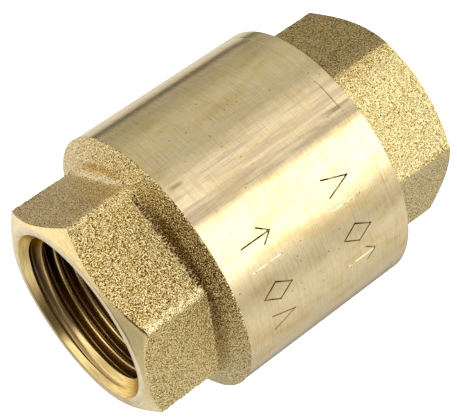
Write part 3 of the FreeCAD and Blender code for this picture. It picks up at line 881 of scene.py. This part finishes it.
def stroke_cutter(strokes):
    """One object of all the wedges; they must not touch each other."""
    points, faces, slots = [], [], []
    for stroke in strokes:
        bare = is_bare(*stroke)
        more_points, more_faces = stroke_wedge(*stroke, BARE_WIDTH if bare else 1.0)
        faces += [tuple(corner + len(points) for corner in face) for face in more_faces]
        points += more_points
        slots += [int(bare)] * len(more_faces)
    mesh = bpy.data.meshes.new("cutter")
    mesh.from_pydata(points, [], faces)
    for material in stroke_materials:
        mesh.materials.append(material)
    mesh.polygons.foreach_set("material_index", slots)
    cutter = bpy.data.objects.new("cutter", mesh)
    bpy.context.scene.collection.objects.link(cutter)
    return cutter


def cut(piece, cutter):
    """Take the cutter's shape out of the piece, and remove the cutter."""
    change = piece.modifiers.new("cut", "BOOLEAN")
    change.operation = "DIFFERENCE"
    change.solver = "EXACT"
    change.object = cutter
    change.material_mode = "TRANSFER"
    bpy.context.view_layer.update()
    with bpy.context.temp_override(object=piece, active_object=piece, selected_objects=[piece]):
        bpy.ops.object.modifier_apply(modifier=change.name)
    bpy.data.objects.remove(cutter)


def on_barrel(x, degrees, outline):
    """Glyph points (along X, round the barrel) in units of the glyph's height, at a place on the barrel."""
    return [(x + up * GLYPH, math.radians(degrees) + across * GLYPH / BARREL) for up, across in outline]


def mark_places():
    """Where each mark stands, as (x, degrees, outline): two rows of plain marks round the barrel."""
    arrow = ((0, 0), (1, 0)), ((1, 0), (0.68, -0.26)), ((1, 0), (0.68, 0.26))
    bar = (((0, 0), (1, 0)),)
    chevron = ((0.1, -0.28), (0.9, 0)), ((0.9, 0), (0.1, 0.28))
    corners = (0, 0), (0.5, -0.3), (1, 0), (0.5, 0.3), (0, 0)
    diamond = tuple(zip(corners, corners[1:]))
    near, far = INLET + 14.6 * MM, INLET + 26.5 * MM
    return (
        (near, 110.5, arrow), (near, 121.0, bar), (near, 133.3, diamond), (near, 146.5, chevron),
        (far, 110.5, chevron), (far, 119.5, bar), (far, 133.3, diamond), (far, 146.0, arrow),
    )


def engrave(piece):
    """Cut the marks into the barrel, one stroke of each mark at a time so that no two wedges touch."""
    places = mark_places()
    for layer in range(max(len(outline) for _, _, outline in places)):
        strokes = [
            on_barrel(x, degrees, outline[layer])
            for x, degrees, outline in places
            if layer < len(outline)
        ]
        cut(piece, stroke_cutter(strokes))
    mark_edges(piece.data)


# ---------------------------------------------------------------- spring

WIRE_RADIUS = 0.3 * MM
SPRING_TURNS = 6
SPOTS_PER_TURN = 48
WIRE_SIDES = 14
END_EDGE = math.radians(40)


def spring_spots(start, stop):
    """Points (x, angle) along the wire's middle; the first and last turn lie closed."""
    closed = 2 * WIRE_RADIUS / (stop - start)
    one_turn = 1 / SPRING_TURNS
    count = SPRING_TURNS * SPOTS_PER_TURN
    spots = []
    for index in range(count + 1):
        share = index / count
        rise = np.interp(share, [0, one_turn, 1 - one_turn, 1], [0, closed, 1 - closed, 1])
        spots.append((start + (stop - start) * rise, 2 * math.pi * SPRING_TURNS * share))
    return spots


def build_spring(material):
    """Compression spring with closed ends, as a swept tube."""
    low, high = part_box("return_spring")
    radius = high.z - WIRE_RADIUS
    spots = spring_spots(low.x + WIRE_RADIUS, high.x - WIRE_RADIUS)
    vertices, faces = [], []
    for x, angle in spots:
        for side in range(WIRE_SIDES):
            turn = 2 * math.pi * side / WIRE_SIDES
            r = radius + WIRE_RADIUS * math.cos(turn)
            vertices.append((x + WIRE_RADIUS * math.sin(turn), r * math.cos(angle), r * math.sin(angle)))
    for first in range(0, (len(spots) - 1) * WIRE_SIDES, WIRE_SIDES):
        for side in range(WIRE_SIDES):
            a, b = first + side, first + (side + 1) % WIRE_SIDES
            faces.append((a, b, b + WIRE_SIDES, a + WIRE_SIDES))
    last = (len(spots) - 1) * WIRE_SIDES
    faces.append(tuple(range(WIRE_SIDES - 1, -1, -1)))
    faces.append(tuple(range(last, last + WIRE_SIDES)))
    mesh = bpy.data.meshes.new("return_spring_coil")
    mesh.from_pydata(vertices, [], faces)
    mesh.materials.append(material)
    mesh.shade_smooth()
    mesh.set_sharp_from_angle(angle=END_EDGE)
    piece = bpy.data.objects.new("return_spring_coil", mesh)
    bpy.context.scene.collection.objects.link(piece)
    return piece


# ---------------------------------------------------------------- studio

def build_floor():
    """Plain white floor under the valve. The metal reflects the studio instead of it."""
    half, z = 1.5, cad_low.z
    corners = [(-half, -half, z), (half, -half, z), (half, half, z), (-half, half, z)]
    mesh = bpy.data.meshes.new("floor")
    mesh.from_pydata(corners, [], [(0, 1, 2, 3)])
    material, _, shader = new_material("floor")
    shader.inputs["Base Color"].default_value = (0.9, 0.9, 0.9, 1)
    shader.inputs["Roughness"].default_value = 0.9
    shader.inputs["Specular IOR Level"].default_value = 0.0
    shader.inputs["Emission Color"].default_value = (1, 1, 1, 1)
    shader.inputs["Emission Strength"].default_value = 0.75
    mesh.materials.append(material)
    floor = bpy.data.objects.new("floor", mesh)
    bpy.context.scene.collection.objects.link(floor)
    floor.visible_glossy = False


# how bright the studio is at angles round the valve, as (degrees from +Y towards +Z, brightness):
# ahead, on the outlet's side, and behind, on the inlet's side
AHEAD = (
    (-180, 0.80), (-168, 0.84), (-156, 0.78), (-144, 0.72), (-132, 0.63), (-120, 0.64), (-108, 0.44),
    (-96, 0.26), (-86, 0.36), (-78, 0.74), (-60, 0.80), (-46, 0.76), (-41, 0.10), (-36, 0.15),
    (-30, 0.48), (-20, 0.42), (-12, 0.46), (2, 0.60), (14, 0.62), (26, 0.62), (40, 0.58), (48, 0.81),
    (60, 1.03), (76, 1.18), (82, 0.90), (90, 0.86), (97, 2.10), (134, 2.10), (145, 1.15), (154, 0.82),
    (164, 0.64), (180, 0.80),
)
BEHIND = (
    (-180, 0.95), (-150, 0.85), (-135, 0.60), (-120, 0.65), (-104, 0.90), (-96, 0.90), (-80, 1.00),
    (-64, 1.10), (-42, 1.30), (-30, 1.15), (-14, 0.60), (4, 0.90), (33, 1.70), (60, 1.30), (75, 0.90),
    (90, 0.30), (125, 0.14), (150, 0.16), (166, 0.40), (180, 0.95),
)
STUDIO_PEAK = 2.2
# the two tables meet over this stretch of the direction's X
MEET_FROM, MEET_TO = -0.12, 0.08
# the darker patch by the inlet: its direction, and the cosines from it at which it starts and is full
DARK_SIDE = Vector((-0.85, 0, -0.53))
DARK_FROM, DARK_FULL = 0.94, 0.985


def studio_glow(tree, direction):
    """Colour of the surround in a direction, from the two tables."""
    parts = add_node(tree, "ShaderNodeSeparateXYZ", Vector=direction)
    angle = calculate(tree, "ARCTAN2", parts.outputs["Z"], parts.outputs["Y"])
    share = remap(tree, angle, -math.pi, math.pi, 0.0, 1.0)
    ahead, behind = (
        ramp(tree, share, [
            ((degrees + 180) / 360, [light / STUDIO_PEAK] * 3) for degrees, light in table
        ])
        for table in (AHEAD, BEHIND)
    )
    side = remap(tree, parts.outputs["X"], MEET_FROM, MEET_TO, 0.0, 1.0)
    return mix_colour(tree, side, behind, ahead)


def build_studio():
    """Soft surround: panels of different brightness round the valve, and a darker side by its inlet."""
    world = bpy.data.worlds.new("studio")
    bpy.context.scene.world = world
    world.use_nodes = True
    tree = world.node_tree
    tree.nodes.clear()
    direction = add_node(tree, "ShaderNodeTexCoord").outputs["Generated"]
    glow = studio_glow(tree, direction)
    towards = add_node(tree, "ShaderNodeVectorMath", {"operation": "DOT_PRODUCT"}, _0=direction)
    towards.inputs[1].default_value = DARK_SIDE.normalized()
    shade = remap(tree, towards.outputs["Value"], DARK_FROM, DARK_FULL, 1.0, 0.10)
    seen = add_node(tree, "ShaderNodeLightPath").outputs["Is Camera Ray"]
    strength = multiply(tree, shade, STUDIO_PEAK)
    panels = add_node(tree, "ShaderNodeBackground", Color=glow, Strength=strength)
    backdrop = add_node(tree, "ShaderNodeBackground", Color=(1, 1, 1, 1), Strength=1.0)
    both = add_node(tree, "ShaderNodeMixShader", _0=seen, _1=panels.outputs[0], _2=backdrop.outputs[0])
    add_node(tree, "ShaderNodeOutputWorld", Surface=both.outputs[0])


# camera: angles in degrees, distance in metres, lens and sensor in millimetres, and the spot it looks at,
# from the middle of the valve
CAMERA_AZIMUTH, CAMERA_ELEVATION, CAMERA_ROLL = -75.036, 67.029, 38.728
CAMERA_DISTANCE = 0.1962
CAMERA_LENS = 130.16
CAMERA_SENSOR = 36
CAMERA_AIM = Vector((-0.598, 0.214, -0.222)) * MM


def build_camera():
    """Camera above the valve and towards its inlet end, rolled so that the valve lies aslant."""
    azimuth, elevation = math.radians(CAMERA_AZIMUTH), math.radians(CAMERA_ELEVATION)
    back = Vector((
        math.sin(azimuth) * math.cos(elevation),
        -math.cos(azimuth) * math.cos(elevation),
        math.sin(elevation),
    ))
    aim = (cad_low + cad_high) / 2 + CAMERA_AIM
    roll = Matrix.Rotation(math.radians(CAMERA_ROLL), 3, "Z")
    turn = (-back).to_track_quat("-Z", "Y").to_matrix() @ roll
    data = bpy.data.cameras.new("camera")
    data.sensor_width = CAMERA_SENSOR
    data.lens = CAMERA_LENS
    data.clip_start, data.clip_end = 0.01, 10
    camera = bpy.data.objects.new("camera", data)
    camera.matrix_world = Matrix.Translation(aim + back * CAMERA_DISTANCE) @ turn.to_4x4()
    bpy.context.scene.collection.objects.link(camera)
    bpy.context.scene.camera = camera


# ---------------------------------------------------------------- the valve

EDGE_BEVEL = 0.06 * MM

# in the order of the material slots
skin_materials = [
    cast_brass(),
    turned_brass(),
    faced_brass(),
    thread_brass(),
    # the insides are darker brass: painted shade where little light reaches
    machined("painted_shade_waterway_brass", (0.36, 0.25, 0.10), (0.62, 0.46, 0.20), 0.4),
    machined("chamfer_brass", (0.80, 0.61, 0.27), (0.92, 0.74, 0.38), 0.28),
]
stroke_materials = [groove_shade_brass(), bare_brass()]
steel = machined("stainless_steel", (0.42, 0.42, 0.41), (0.70, 0.70, 0.68), 0.28)
spring_steel = machined("spring_steel", (0.32, 0.32, 0.33), (0.60, 0.60, 0.60), 0.25)
bar_brass = machined("bar_brass", (0.62, 0.46, 0.20), (0.86, 0.68, 0.35), 0.28)
rubber = moulded("nitrile_rubber", (0.012, 0.012, 0.012), (0.03, 0.03, 0.03), 0.55)
ptfe = moulded("fluoropolymer", (0.78, 0.78, 0.74), (0.88, 0.88, 0.85), 0.45)

valve_body = build_valve_body(skin_materials)
engrave(valve_body)
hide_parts("valve_body")
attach(valve_body, "housing")

end_cap = build_end_cap(skin_materials)
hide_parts("end_cap")
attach(end_cap, "housing")

spring = build_spring(spring_steel)
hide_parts("return_spring")
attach(spring, "housing")
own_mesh(spring)

INNER_MATERIALS = {
    "cap_gasket": ptfe,
    "poppet_disc": bar_brass,
    "poppet_seal": rubber,
    "seal_clamp_washer": steel,
    "stem_nut": steel,
    "poppet_stem": steel,
    "spring_washer": steel,
    "stem_guide": bar_brass,
    "guide_bush": ptfe,
    "guide_retaining_ring": spring_steel,
}
for node, material in INNER_MATERIALS.items():
    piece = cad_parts[node]
    piece.data.materials.clear()
    piece.data.materials.append(material)
    edges = piece.modifiers.new("edges", "BEVEL")
    edges.width = EDGE_BEVEL
    edges.segments = 2
    edges.limit_method = "ANGLE"

build_floor()
build_studio()
build_camera()
bpy.context.scene.view_settings.view_transform = "Standard"
